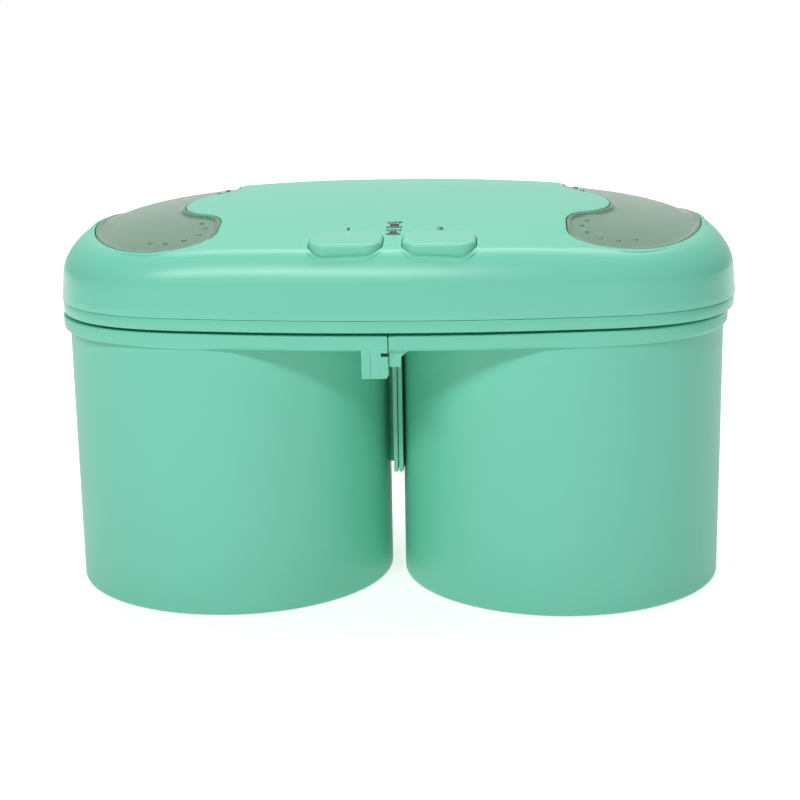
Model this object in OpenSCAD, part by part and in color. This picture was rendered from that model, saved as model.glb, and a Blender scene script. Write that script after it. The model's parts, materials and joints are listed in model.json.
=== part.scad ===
// Twin-bowl ice cream maker: two round tubs hooked side by side under one oval motor lid.
// Millimetres, +Z up, the front faces -Y, and the origin lies on the standing surface under the lid's middle.

/* [Tubs] */
// Half the distance between the axes of the two bowls
half_pitch = 82; // [80:0.5:86]
// Outside radius of a tub
tub_r = 78.6; // [77:0.1:79]
// Wall of a tub
tub_wall = 2.2; // [1.6:0.1:2.6]
// Floor of a tub
tub_floor = 2.6; // [2:0.1:3]
// Radius of the rounded edge round a tub's bottom
tub_edge = 2; // [1:0.1:2.6]
// Height of the underside of the rim
rim_z = 130.2; // [129:0.1:131]
// Height of the rim band
rim_h = 7.2; // [6:0.1:8]
// Thickness of the flat plate on top of the rim
rim_plate = 2.4; // [1.6:0.1:3]
// End radius of the rim outline
rim_r = 79.9; // [79.6:0.1:81]
// How far the rim bows out at the front and back
rim_bulge = 6.7; // [4:0.1:8]
// Squareness of the rounded ends of the rim and the lid, 2 is a circle
end_shape = 2.5; // [2:0.05:2.8]
// How far the tubs stand from under the lid's middle, within the lid's play
tub_shift = -1.6; // [-1.9:0.1:0]
// Where the two rims meet, measured from the middle of the tubs
split_x = 1.7; // [0:0.1:2]
// Gap between the two rims
split_gap = 0.5; // [0.3:0.1:0.8]
// Thickness of the stiffening plate that hangs between the tubs
web_t = 2; // [1.4:0.1:2.2]
// Half the depth of that plate, from front to back
web_half = 22; // [16:1:30]
// Height of the lower edge of that plate
web_z = 56; // [40:1:80]
// Radius of a rubber foot
foot_r = 7; // [5:0.5:9]
// How far a foot stands below the tub
foot_proud = 0.8; // [0.6:0.1:1.5]
// Depth of a foot's pocket in the tub floor
foot_pocket = 1.3; // [0.8:0.1:1.6]
// Radius of the ring that the feet stand on
foot_ring = 62; // [50:1:66]

/* [Tub hooks] */
// Width of the hook housing under the left rim
hook_w = 12; // [11:0.1:13]
// Height of the hook housing
hook_h = 12.4; // [11:0.1:14]
// Depth of the hook housing from front to back
hook_d = 8.4; // [8:0.1:10]
// Walls of the hook housing
hook_wall = 1.8; // [1.4:0.1:2]
// How far the hook housing lies behind the front of the rim
hook_back = 0.8; // [0.4:0.1:1.5]
// Height of the hook's arm
arm_h = 4.6; // [4:0.1:5]
// Thickness of the neck of the hook's arm
neck_t = 1.8; // [1.4:0.1:2]
// Width of the hook's root on the right rim
root_w = 8.8; // [8:0.1:10]
// Clearance round the hook
hook_clear = 0.4; // [0.3:0.05:0.5]

/* [Bowls] */
// Inside radius of a bowl
bowl_r = 56; // [54:0.5:57]
// Sheet of the inner bowl
liner_t = 1.2; // [0.8:0.1:1.6]
// Inside corner radius at the bottom of a bowl
bowl_corner = 9; // [6:0.5:10]
// Outside radius of the insulated jacket
jacket_r = 70; // [68:0.5:71]
// Wall of the jacket
jacket_wall = 2; // [1.5:0.1:2.5]
// Chamfer round the bottom of the jacket
jacket_chamfer = 4; // [2:0.5:5]
// Radius of the jacket's top flange
flange_r = 73.4; // [72.5:0.1:74]
// Thickness of the jacket's top flange
flange_t = 2.4; // [1.6:0.1:3]
// Height of the top of a bowl
bowl_top = 129.7; // [129:0.1:130]
// Depth of coolant under a bowl
coolant_under = 10.7; // [8:0.1:14]
// Height of the ribs that a bowl stands on
seat_h = 5.3; // [4:0.1:7]
// Radius of the ring of ribs that a bowl stands on
seat_r = 50; // [40:1:58]
// Air space over the coolant
air_space = 5; // [3:0.5:8]
// Depth of the sealing ring at the top of the coolant
seal_h = 7; // [5:0.5:9]

/* [Paddles] */
// Outside radius of a paddle's hub
hub_r = 9; // [8:0.5:11]
// Height of the top of a paddle
paddle_top = 118; // [112:1:119]
// Gap between a paddle and the bowl
paddle_gap = 1.6; // [1:0.1:3]
// Width of a scraper blade
blade_w = 12; // [8:0.5:14]
// Thickness of a scraper blade
blade_t = 2.6; // [2:0.1:4]
// Angle at which a scraper blade is set
blade_angle = 55; // [45:1:60]
// Height of a spoke
spoke_h = 5; // [4:0.5:7]
// Width of a spoke
spoke_w = 7; // [5:0.5:9]
// Radius of the pivot pin in the middle of a bowl
pivot_r = 4; // [3:0.5:5]
// Height of that pin
pivot_h = 6; // [4:0.5:8]
// Width across the flats of the drive socket
socket_flats = 11; // [10:0.5:12]
// Depth of the drive socket
socket_depth = 14; // [10:1:18]

/* [Lid] */
// End radius of the lid outline at its seam
lid_r = 81.5; // [81:0.1:82]
// How far the lid bows out at the front and back
lid_bulge = 5.8; // [4:0.1:8]
// Gap between the rims and the lid
lid_gap = 1.4; // [1:0.1:2]
// Height of the lid's lower band
band_h = 5.8; // [4:0.1:7]
// How far the lower band lies inside the seam above it
band_inset = 0.4; // [0:0.1:1]
// Wall of the lid
lid_wall = 2.4; // [2:0.1:3]
// Thickness of the lid's floor
lid_floor = 2.4; // [2:0.1:3]
// Height at which the lid's straight wall ends
wall_z = 157.5; // [156:0.1:159]
// How far the straight wall leans in
wall_draft = 1.1; // [0:0.1:1.6]
// Height of the middle of the lid's top
top_z = 189.3; // [188:0.1:192]
// Slope of the top, down to the front
top_slope = 0.1; // [0.06:0.01:0.12]
// How far the top bows down towards its ends
bow_x = 14.9; // [12:0.1:16]
// Flatness of that bow, 2 is a parabola
bow_shape = 2.7; // [2:0.1:3.4]
// How far the top bows down towards the front and the back
bow_y = 8.3; // [7:0.1:9.5]
// Width of the rounded shoulder along the front
shoulder_front = 12; // [11:0.5:14]
// Width of the rounded shoulder along the back
shoulder_back = 72; // [60:1:76]
// How late the shoulder widens from the front to the back
shoulder_growth = 3.3; // [2.6:0.1:4]
// Fullness of the shoulder, 2 is a quarter ellipse
shoulder_shape = 1.74; // [1.6:0.02:2]
// Depth of the round collars that centre the lid in the tubs
collar_h = 6.4; // [4:0.1:7.5]
// Outside radius of those collars
collar_r = 74; // [73:0.1:74.2]
// Wall of those collars
collar_wall = 1.8; // [1.4:0.1:2.2]

/* [Ingredient windows] */
// Half the width of a window's outer curve
window_hw = 44.3; // [42:0.1:45]
// Half the depth of a window's outer curve
window_hd = 66.4; // [62:0.1:67]
// Distance of that curve's middle from the lid's middle
window_x = 102.8; // [101.5:0.1:103.5]
// Distance from the lid's middle to a window's inner edge
window_in = 80; // [79:0.1:82]
// Radius of the solid lobe that bites into a window
lobe_r = 22.8; // [20:0.1:24]
// Distance of the lobe's middle from the lid's middle
lobe_x = 80.5; // [78:0.1:81]
// Distance of the lobe's middle behind the lid's middle
lobe_y = 1; // [0:0.5:4]
// Radius of a window's corners
window_round = 10; // [7:0.5:11]
// How far a window lies below the lid's surface
recess = 2.6; // [1.5:0.1:4]
// Thickness of a window
window_t = 1.8; // [1.2:0.1:2.4]
// Depth of the rim under a window
window_rim = 6; // [4:0.5:8]
// Gap round a window
window_clear = 0.4; // [0.3:0.05:0.6]
// Wall of the chute under a window
chute_wall = 2; // [1.4:0.1:2.4]

/* [Buttons] */
// Width of a button
button_w = 33.4; // [28:0.2:36]
// Depth of a button from front to back
button_d = 22.4; // [20:0.2:22.6]
// Half the distance between the middles of the two buttons
button_x = 21.2; // [20:0.1:24]
// How far the pair of buttons stands to the right of the lid's middle
panel_x = 1.8; // [0:0.1:2.4]
// Distance of a button's middle in front of the lid's middle
button_y = 67.7; // [66:0.1:67.8]
// Corner radius of a button
button_round = 5; // [3:0.5:6]
// Height of the middle of a button's top
button_z = 179.5; // [178.5:0.1:181]
// Slope of a button's top
button_slope = 7; // [4:1:10]
// Wall of a button
button_wall = 1.8; // [1.4:0.1:2.4]
// Gap round a button
button_clear = 0.5; // [0.3:0.05:0.6]
// How far a button travels
button_travel = 3; // [2:0.1:3.5]
// How far the button's retaining edge stands out
edge_w = 1.6; // [1.2:0.1:2]
// Thickness of that edge
edge_h = 1.8; // [1.2:0.1:2.4]
// Radius of a button's stem
stem_r = 2.4; // [1.8:0.1:3]
// Width of a switch body
switch_w = 14; // [11:0.5:16]
// Height of a switch body
switch_h = 10; // [8:0.5:11]
// Radius of the wire of a button's spring
wire_r = 0.4; // [0.3:0.05:0.5]
// Radius of the coil of a button's spring
coil_r = 4; // [3.6:0.1:5]
// Number of turns of that spring
coil_turns = 5; // [3:1:6]

/* [Drive] */
// Radius of a motor
motor_r = 19.5; // [15:0.5:20]
// Height of a motor
motor_h = 21; // [15:0.5:24]
// Distance of a motor from its drive shaft, towards the lid's middle
motor_offset = 23; // [22:0.5:28]
// Height of a motor's gearbox
gear_h = 10; // [8:0.5:14]
// Height of the posts that a motor stands on
post_h = 6; // [4:0.5:8]
// Radius of those posts
post_r = 4.5; // [4:0.1:5.5]
// Distance of a motor's fixing screws from its axis
ear_reach = 26; // [25.5:0.5:28]
// Thickness of a motor's fixing plate
ear_t = 1.6; // [1:0.1:2.4]
// Width of that plate
ear_w = 12; // [10:0.5:14]
// Radius of a drive shaft
shaft_r = 3.5; // [3:0.1:4.5]
// Radial clearance of the shaft in its bearing
bearing_clear = 0.05; // [0.02:0.01:0.08]
// Outside radius of a bearing boss
boss_r = 8; // [7:0.5:10]
// Height of the coupler's collar
coupler_collar = 5; // [3:0.5:6]
// Clearance between the coupler and its socket
socket_clear = 0.3; // [0.2:0.05:0.5]
// Radius of a screw's shank
screw_r = 1.5; // [1.2:0.1:1.8]
// Radius of a screw's head
head_r = 3; // [2.6:0.1:3.4]
// Height of a screw's head
head_h = 2; // [1.4:0.1:2.4]

/* [Hidden] */
$fn = 72;

seat_gap = 0.3;          // between a piece and the seat that it is lifted from
fit = 0.1;               // between pieces that stay together
grip = 0.02;             // between a screw or a shaft and the bore that holds it
bite = 0.5;              // by which the forms of one piece reach into each other
past = 1;                // by which a cutting tool runs past what it cuts
far = 200;               // more than any cutting tool has to reach
end_steps = 16;          // points round each end of an outline
side_steps = 10;         // points along the front and the back
dome_steps = 10;         // rings from the lid's wall to its middle
ridge_r = 1;             // end radius of the last ring

tub_z = foot_proud;
tub_floor_z = tub_z + tub_floor;
rim_top = rim_z + rim_h;
bore_r = tub_r - tub_wall;
seam_x = tub_shift + split_x;
plate_low = rim_top - rim_plate;

hook_front = -(rim_r + rim_bulge - hook_back);
hook_mid = hook_front + hook_d / 2;
hook_right = seam_x - split_gap / 2;
hook_left = hook_right - hook_w;
hook_low = rim_z - hook_h;
hook_skin = 2.4;         // top of the housing over its channel
slot_roof = rim_z - hook_skin;
channel_d = hook_d - 2 * hook_wall;
rib_w = 2;               // ribs that catch the head of the hook
rib_x = hook_right - 5;
head_w = 3;              // head of the hook
notch = [3.2, 1.8];      // gap in the housing's face that shows the hook's root
groove = [4, 0.5];       // place and width of the mould line down the housing's face

bowl_z = tub_floor_z + seat_h + seat_gap;
flange_z = bowl_top - liner_t - fit - flange_t;
jacket_in = jacket_r - jacket_wall;
liner_z = bowl_z + jacket_wall + coolant_under;
bowl_floor_z = liner_z + liner_t;
corner_z = bowl_floor_z + bowl_corner;
seal_z = bowl_top - liner_t - fit - seal_h;
coolant_top = seal_z - air_space;

band_z = rim_top + lid_gap;
seam_z = band_z + band_h;
floor_top = band_z + lid_floor;
motor_z = floor_top + post_h;
lid_half_w = half_pitch + lid_r;
lid_half_d = lid_r + lid_bulge;
shaft_top = motor_z + gear_h - 2 * past;
coupler_floor = 2;       // closed end of the coupler under its shaft
collar_z = paddle_top + seat_gap;
coupler_z = paddle_top - socket_depth + 1;

screw_spots = [[48, 72], [-48, 72], [48, -72], [-48, -72], [0, 74], [154.2, 0], [-154.2, 0]];
screw_post_h = 6;
cover_screw = 13;        // length of the lid's screws under their heads
cover_boss_z = band_z + screw_post_h + fit;
pad_spots = [[30, 74], [-30, 74], [30, -74], [-30, -74]];
pad = [10, 6];           // pads under the lid that rest on the rims
boss_rise = 3;           // height of the bearing bosses over the lid's floor

edge_z = 160.6;          // underside of the button's retaining edge
guide_z = edge_z + edge_h + seat_gap;
bracket_z = 146;
bracket_t = 2;
bracket_ends = 8;        // by which the bracket is longer than the switches need
switch_z = bracket_z + bracket_t;
switch_top = switch_z + switch_h;
stem_z = switch_top - button_travel;
spring_z = switch_top + wire_r;
spring_top = button_z - button_wall - (coil_r + wire_r) * tan(button_slope) - wire_r - seat_gap;

grommet_z = 152;
grommet_r = 5;
grommet_lip = 1.5;       // by which the grommet's lips reach past its hole
grommet_t = 1;           // thickness of those lips
grommet_bore = 3.1;

terminal_spots = [-1, 0, 1];
terminal = [9.4, 12, 10];  // one pole of the terminal block
terminal_r = 2;
terminal_y = 56;

// A number raised to a power, keeping its sign
function signed_power(v, e) = sign(v) * pow(abs(v), e);

// Half depth of an outline at x: bowed between the axes, easing off beyond them
function flank(r, bulge, x) =
    let (u = abs(x) / half_pitch)
    u < 1 ? r + bulge * (1 - u * u) : r - 2 * bulge * (u - 1) / (1 + 2 * (u - 1));

function end_points(r, bulge) = [
    for (i = [0:end_steps])
        let (a = -90 + 180 * i / end_steps)
        let (x = half_pitch + r * signed_power(cos(a), 2 / end_shape))
        [x, flank(r, bulge, x) * signed_power(sin(a), 2 / end_shape)]
];
function side_points(r, bulge) = [
    for (i = [1:side_steps - 1])
        let (x = half_pitch * (1 - 2 * i / side_steps))
        [x, flank(r, bulge, x)]
];
// Outline with bowed sides and squared round ends, anticlockwise
function oval(r, bulge) =
    let (half = concat(end_points(r, bulge), side_points(r, bulge)))
    concat(half, [for (p = half) -p]);

// Height over a point of the lid's bowed top, which slopes down to the front
function top_height(x, y) =
    top_z + top_slope * y - bow_x * pow(abs(x) / lid_half_w, bow_shape) - bow_y * pow(y / lid_half_d, 2);

// Share of the way up from the wall to the top, at a distance in from the wall
function shoulder(y, distance) =
    let (back = min(max(0.5 + y / (2 * lid_half_d), 0), 1))
    let (width = shoulder_front + (shoulder_back - shoulder_front) * pow(back, shoulder_growth))
    pow(1 - pow(max(1 - distance / width, 0), shoulder_shape), 1 / shoulder_shape);

// Rings of the lid's dome, moved in by inset and down by drop, from the height base_z up
function dome_rings(inset, drop, base_z) =
    let (base_r = lid_r - inset)
    let (top_r = base_r - wall_draft)
    concat(
        [[for (p = oval(base_r, lid_bulge)) [p[0], p[1], base_z]]],
        [for (i = [0:dome_steps])
            let (distance = (top_r - ridge_r) * pow(i / dome_steps, 2))
            [for (p = oval(top_r - distance, lid_bulge))
                let (rise = (top_height(p[0], p[1]) - wall_z) * shoulder(p[1], distance))
                [p[0], p[1], wall_z - drop + rise]]]
    );

// Pairs of points that face each other across an outline, from its right tip to its left one
outline_half = end_steps + side_steps;
tip = end_steps / 2;
across = concat(
    [for (i = [1:tip]) [tip - i, tip + i]],
    [for (i = [1:side_steps - 1]) [2 * outline_half - i, end_steps + i]],
    [for (i = [0:tip - 1]) [outline_half + end_steps - i, outline_half + i]]
);
// Triangles that close a ring which doesn't lie flat
ridge = concat(
    [[tip, across[0][0], across[0][1]]],
    [for (i = [1:len(across) - 1])
        let (p = across[i - 1], q = across[i])
        each [[p[0], q[0], q[1]], [p[0], q[1], p[1]]]],
    [[across[len(across) - 1][0], outline_half + tip, across[len(across) - 1][1]]]
);

// Points of an arc about [x, z]
function arc(x, z, r, from, to, steps = 6) =
    [for (i = [0:steps]) let (a = from + (to - from) * i / steps) [x + r * cos(a), z + r * sin(a)]];

// Closed solid through a stack of rings with equal numbers of points, closed at the top by the cap's faces
module stack(rings, cap) {
    n = len(rings[0]);
    last = (len(rings) - 1) * n;
    polyhedron(
        points = [for (r = rings) each r],
        faces = concat(
            [[for (i = [0:n - 1]) i]],
            [for (face = cap) [for (i = face) last + i]],
            [for (j = [0:len(rings) - 2]) for (i = [0:n - 1])
                let (a = j * n + i, b = j * n + (i + 1) % n)
                each [[a, a + n, b + n], [a, b + n, b]]]
        )
    );
}

module dome(inset, drop, base_z = seam_z) stack(dome_rings(inset, drop, base_z), ridge);

module at_bowl(side) translate([side * half_pitch, 0, 0]) children();

module at_tub(side) translate([tub_shift + side * half_pitch, 0, 0]) children();

module slab(r, bulge, z, h) translate([0, 0, z]) linear_extrude(h) polygon(oval(r, bulge));

module rounded(w, d, r) {
    union() {
        square([w - 2 * r, d], center = true);
        square([w, d - 2 * r], center = true);
        for (x = [-1, 1], y = [-1, 1]) translate([x * (w / 2 - r), y * (d / 2 - r)]) circle(r);
    }
}

// ---- tubs ----

// Everything on one tub's side of the seam between the rims
module tub_side(side) {
    x0 = side > 0 ? seam_x + split_gap / 2 : seam_x - split_gap / 2 - far;
    intersection() {
        children();
        translate([x0, -far / 2, 0]) cube(far);
    }
}

module rim(side) {
    difference() {
        tub_side(side) translate([tub_shift, 0, 0]) difference() {
            slab(rim_r, rim_bulge, rim_z, rim_h);
            slab(rim_r - tub_wall, rim_bulge, rim_z - past, rim_h - rim_plate + past);
        }
        at_tub(side) translate([0, 0, rim_z - past]) cylinder(r = tub_r - tub_wall / 2, h = rim_h + 2 * past);
    }
}

module tub_shell() {
    rotate_extrude() polygon(concat(
        [[0, tub_z]],
        arc(tub_r - tub_edge, tub_z + tub_edge, tub_edge, -90, 0),
        [[tub_r, rim_top], [bore_r, rim_top], [bore_r, tub_floor_z], [0, tub_floor_z]]
    ));
}

module foot_spots() for (a = [30, 150, 270]) rotate([0, 0, a]) translate([foot_ring, 0, 0]) children();

// Plate that hangs between the tubs, tied to its tub by one rib
module web(side) {
    x = seam_x + side * (split_gap + web_t) / 2;
    wall_x = tub_shift + side * (half_pitch - tub_r + tub_wall / 2);
    translate([x - web_t / 2, -web_half, web_z]) cube([web_t, 2 * web_half, plate_low + bite - web_z]);
    translate([min(x, wall_x), -web_t, web_z]) cube([abs(wall_x - x), 2 * web_t, rim_z - web_z]);
}

// Housing under the left rim, open below and to the right, with a T-shaped channel
module hook_housing() {
    slot_w = neck_t + 2 * hook_clear;
    difference() {
        translate([hook_left, hook_front, hook_low]) cube([hook_w, hook_d, plate_low - hook_low + bite]);
        translate([hook_left + hook_wall, hook_front + hook_wall, hook_low - past])
            cube([hook_w, channel_d, slot_roof - hook_low + past]);
        translate([hook_right - notch[0], hook_front - past, slot_roof])
            cube([notch[0] + past, hook_wall + 2 * past, notch[1]]);
        translate([hook_left + groove[0], hook_front - past, hook_low - past])
            cube([groove[1], past + groove[1], slot_roof - hook_low + past]);
    }
    difference() {
        translate([rib_x, hook_front + bite, hook_low])
            cube([rib_w, hook_d - 2 * bite, slot_roof - hook_low + bite]);
        translate([rib_x - past, hook_mid - slot_w / 2, hook_low - past])
            cube([rib_w + 2 * past, slot_w, far]);
    }
}

// Hook of the right tub: a root under the rim, a thin neck and a T-shaped head
module hook() {
    root_x = seam_x + split_gap / 2;
    root_low_w = root_w * 0.6;
    arm_z = slot_roof - hook_clear - arm_h;
    head_x = rib_x - hook_clear - head_w;
    head_d = channel_d - 2 * hook_clear;
    translate([0, hook_front + hook_wall + hook_clear + head_d, 0]) rotate([90, 0, 0]) linear_extrude(head_d)
        polygon([
            [root_x, plate_low + bite], [root_x + root_w, plate_low + bite], [root_x + root_w, rim_z],
            [root_x + root_low_w, arm_z + arm_h], [root_x + root_low_w, arm_z], [root_x, arm_z]
        ]);
    translate([head_x, hook_mid - neck_t / 2, arm_z]) cube([root_x - head_x + bite, neck_t, arm_h]);
    translate([head_x, hook_mid - head_d / 2, arm_z]) cube([head_w, head_d, arm_h]);
}

module front_and_back() {
    children();
    mirror([0, 1, 0]) children();
}

module tub(side) {
    color("mediumaquamarine") {
        difference() {
            union() {
                at_tub(side) tub_shell();
                rim(side);
                web(side);
            }
            at_tub(side) foot_spots() translate([0, 0, tub_z - past])
                cylinder(r = foot_r + fit, h = foot_pocket + past);
        }
        at_tub(side) translate([0, 0, tub_floor_z - bite]) difference() {
            cylinder(r = seat_r + tub_wall, h = seat_h + bite);
            translate([0, 0, -past]) cylinder(r = seat_r, h = far);
        }
        if (side < 0) front_and_back() hook_housing();
        if (side > 0) front_and_back() hook();
    }
}

module feet(side) {
    color("dimgray") at_tub(side) foot_spots() cylinder(r = foot_r, h = foot_proud + foot_pocket - fit);
}

// ---- bowls ----

module bowl_jacket(side) {
    color("white") at_bowl(side) rotate_extrude() polygon([
        [0, bowl_z], [jacket_r - jacket_chamfer, bowl_z], [jacket_r, bowl_z + jacket_chamfer],
        [jacket_r, flange_z], [flange_r, flange_z], [flange_r, flange_z + flange_t],
        [jacket_in, flange_z + flange_t], [jacket_in, bowl_z + jacket_chamfer + jacket_wall / 2],
        [jacket_in - jacket_chamfer + jacket_wall / 2, bowl_z + jacket_wall], [0, bowl_z + jacket_wall]
    ]);
}

module coolant(side) {
    r = jacket_in - fit;
    z = bowl_z + jacket_wall + fit;
    c = jacket_chamfer;
    color("lightblue") at_bowl(side) rotate_extrude() polygon(concat(
        [[0, z], [r - c, z], [r, z + c], [r, coolant_top], [bowl_r + liner_t + fit, coolant_top]],
        arc(bowl_r - bowl_corner, corner_z, bowl_corner + liner_t + fit, 0, -90),
        [[0, liner_z - fit]]
    ));
}

module bowl_liner(side) {
    lip_r = flange_r - 1;
    color("silver") at_bowl(side) rotate_extrude() polygon(concat(
        [[0, liner_z]],
        arc(bowl_r - bowl_corner, corner_z, bowl_corner + liner_t, -90, 0),
        [[bowl_r + liner_t, bowl_top - liner_t], [lip_r, bowl_top - liner_t], [lip_r, bowl_top]],
        [[bowl_r, bowl_top]],
        arc(bowl_r - bowl_corner, corner_z, bowl_corner, 0, -90),
        [[pivot_r, bowl_floor_z], [pivot_r, bowl_floor_z + pivot_h], [0, bowl_floor_z + pivot_h]]
    ));
}

module bowl_seal(side) {
    color("gray") at_bowl(side) translate([0, 0, seal_z]) difference() {
        cylinder(r = jacket_in - fit, h = seal_h);
        translate([0, 0, -past]) cylinder(r = bowl_r + liner_t + fit, h = seal_h + 2 * past);
    }
}

// ---- paddles ----

function hex_r(flats) = flats / 2 / cos(30);

module blade() {
    half_out = (blade_w * cos(blade_angle) + blade_t * sin(blade_angle)) / 2;
    reach = bowl_r - paddle_gap - half_out - 1;
    low = corner_z + paddle_gap;
    translate([reach, 0, low]) rotate([0, 0, blade_angle])
        translate([-blade_w / 2, -blade_t / 2, 0]) cube([blade_w, blade_t, paddle_top - 8 - low]);
    for (z = [low, (low + paddle_top) / 2 - 8, paddle_top - 14])
        translate([hub_r - 1, -spoke_w / 2, z]) cube([reach - hub_r + 1, spoke_w, spoke_h]);
}

module paddle(side) {
    low = bowl_floor_z + seat_gap;
    color("whitesmoke") at_bowl(side) difference() {
        union() {
            translate([0, 0, low]) cylinder(r = hub_r, h = paddle_top - low);
            for (a = [0, 180]) rotate([0, 0, a]) blade();
            translate([-bowl_r + bowl_corner, -spoke_w / 2, low])
                cube([2 * (bowl_r - bowl_corner), spoke_w, spoke_h]);
        }
        translate([0, 0, low - past]) cylinder(r = pivot_r + bearing_clear, h = pivot_h + 2 * past);
        translate([0, 0, paddle_top - socket_depth])
            cylinder(r = hex_r(socket_flats), h = socket_depth + past, $fn = 6);
    }
}

// ---- drive ----

module drive_coupler(side) {
    color("white") at_bowl(side) difference() {
        union() {
            translate([0, 0, coupler_z])
                cylinder(r = hex_r(socket_flats - 2 * socket_clear), h = collar_z - coupler_z + 1, $fn = 6);
            translate([0, 0, collar_z]) cylinder(r = boss_r, h = coupler_collar);
        }
        translate([0, 0, coupler_z + coupler_floor]) cylinder(r = shaft_r + grip, h = far);
    }
}

module drive_shaft(side) {
    z = coupler_z + coupler_floor + fit;
    color("silver") at_bowl(side) translate([0, 0, z]) cylinder(r = shaft_r, h = shaft_top - z);
}

module at_motor(side) translate([side * (half_pitch - motor_offset), 0, 0]) children();

// Gear motor: a round can beside its drive shaft, on a flat gearbox that reaches over to it
module motor(side) {
    color("gray") difference() {
        union() {
            at_motor(side) translate([0, 0, motor_z]) cylinder(r = motor_r, h = motor_h);
            at_bowl(side) translate([0, 0, motor_z]) cylinder(r = boss_r, h = gear_h);
            translate([side * (half_pitch - motor_offset / 2) - motor_offset / 2, -boss_r, motor_z])
                cube([motor_offset, 2 * boss_r, gear_h]);
            at_motor(side) translate([-ear_w / 2, -ear_reach - ear_w / 2, motor_z])
                cube([ear_w, 2 * ear_reach + ear_w, ear_t]);
        }
        at_bowl(side) translate([0, 0, motor_z - past]) cylinder(r = shaft_r + bearing_clear, h = gear_h);
        for (y = [-1, 1]) at_motor(side) translate([0, y * ear_reach, motor_z - past])
            cylinder(r = screw_r + fit, h = ear_t + 2 * past);
    }
}

module screw(length) {
    cylinder(r = head_r, h = head_h);
    translate([0, 0, head_h - bite]) cylinder(r = screw_r, h = length + bite);
}

module motor_screws() {
    length = post_h + ear_t - past;
    head_z = motor_z + ear_t + head_h + fit;
    color("silver") for (side = [-1, 1], y = [-1, 1])
        at_motor(side) translate([0, y * ear_reach, head_z]) mirror([0, 0, 1]) screw(length);
}

// ---- lid ----

// Outline of the right window, grown by a margin
module window_shape(grow = 0) {
    offset(r = grow) offset(r = window_round) offset(r = -2 * window_round) offset(r = window_round)
        difference() {
            polygon([for (a = [0:6:354]) [window_x + window_hw * cos(a), window_hd * sin(a)]]);
            translate([window_in - far, -far / 2]) square(far);
            translate([lobe_x, lobe_y]) circle(lobe_r);
        }
}

module window_column(side, grow, z, h) {
    mirror([side < 0 ? 1 : 0, 0, 0]) translate([0, 0, z]) linear_extrude(h) window_shape(grow);
}

module at_button(side) translate([panel_x + side * button_x, -button_y, 0]) children();

module button_column(side, grow, z, h) {
    at_button(side) translate([0, 0, z])
        linear_extrude(h) rounded(button_w + 2 * grow, button_d + 2 * grow, button_round + grow);
}

// Low posts round the screws that hold the two halves of the lid
module screw_posts(z, h, r) for (p = screw_spots) translate([p[0], p[1], z]) cylinder(r = r, h = h);

module lid_base() {
    shaft_hole = shaft_r + bearing_clear;
    color("mediumaquamarine") difference() {
        union() {
            difference() {
                slab(lid_r - band_inset, lid_bulge, band_z, band_h);
                slab(lid_r - band_inset - lid_wall, lid_bulge, floor_top, band_h);
            }
            screw_posts(floor_top - bite, screw_post_h - lid_floor + bite, head_r + lid_wall);
            for (side = [-1, 1]) {
                at_bowl(side) translate([0, 0, band_z - collar_h]) difference() {
                    cylinder(r = collar_r, h = collar_h + bite);
                    translate([0, 0, -past]) cylinder(r = collar_r - collar_wall, h = collar_h + past);
                }
                at_bowl(side) translate([0, 0, band_z - collar_h])
                    cylinder(r = boss_r, h = collar_h + lid_floor + boss_rise);
                for (y = [-1, 1]) at_motor(side) translate([0, y * ear_reach, floor_top - bite])
                    cylinder(r = post_r, h = post_h + bite);
            }
            for (p = pad_spots) translate([p[0] - pad[0] / 2, p[1] - pad[1] / 2, rim_top + seat_gap])
                cube([pad[0], pad[1], lid_gap]);
        }
        for (side = [-1, 1]) {
            at_bowl(side) translate([0, 0, band_z - collar_h - past]) cylinder(r = shaft_hole, h = far);
            for (y = [-1, 1]) at_motor(side) translate([0, y * ear_reach, floor_top + bite])
                cylinder(r = screw_r + grip, h = post_h + past);
            window_column(side, -chute_wall, band_z - past, lid_floor + 2 * past);
        }
        screw_posts(band_z - past, screw_post_h + 2 * past, screw_r + fit);
        screw_posts(band_z - past, head_h + past + fit, head_r + fit);
    }
}

// Chutes, screw bosses and button guides, before the dome trims them
module cover_columns() {
    for (side = [-1, 1]) {
        window_column(side, chute_wall, floor_top + fit, far);
        button_column(side, button_clear + button_wall, guide_z, far);
    }
    screw_posts(cover_boss_z, far, head_r + 1);
}

module lid_top_cover() {
    step = recess + window_t + window_rim + seat_gap;
    color("aquamarine") difference() {
        union() {
            difference() {
                dome(0, 0);
                dome(lid_wall, lid_wall, seam_z - past);
            }
            intersection() {
                cover_columns();
                dome(bite, bite, band_z);
            }
        }
        for (side = [-1, 1]) {
            difference() {
                window_column(side, 0, band_z, far);
                intersection() {
                    window_column(side, past, band_z, far);
                    dome(step, step, band_z);
                }
            }
            window_column(side, -chute_wall, band_z, far);
            button_column(side, button_clear, wall_z, far);
        }
        screw_posts(cover_boss_z - past, cover_screw, screw_r + grip);
        at_grommet() translate([0, 0, -2 * lid_wall]) cylinder(r = grommet_r, h = 4 * lid_wall);
    }
}

module lid_screws() {
    color("silver") for (p = screw_spots) translate([p[0], p[1], band_z + fit]) screw(cover_screw);
}

module window_cover(side) {
    color("lightcyan", 0.5) difference() {
        intersection() {
            window_column(side, -window_clear, band_z, far);
            dome(recess, recess, band_z);
        }
        dome(recess + window_t + window_rim, recess + window_t + window_rim, band_z - past);
        intersection() {
            window_column(side, -window_clear - window_t, band_z, far);
            dome(recess + window_t, recess + window_t, band_z);
        }
    }
}

// ---- buttons and switches ----

// Solid below a button's sloping top, lowered by drop
module below_slope(side, drop) {
    at_button(side) translate([0, 0, button_z - drop]) rotate([button_slope, 0, 0])
        translate([-far / 2, -far / 2, -far / 2]) cube([far, far, far / 2]);
}

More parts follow.
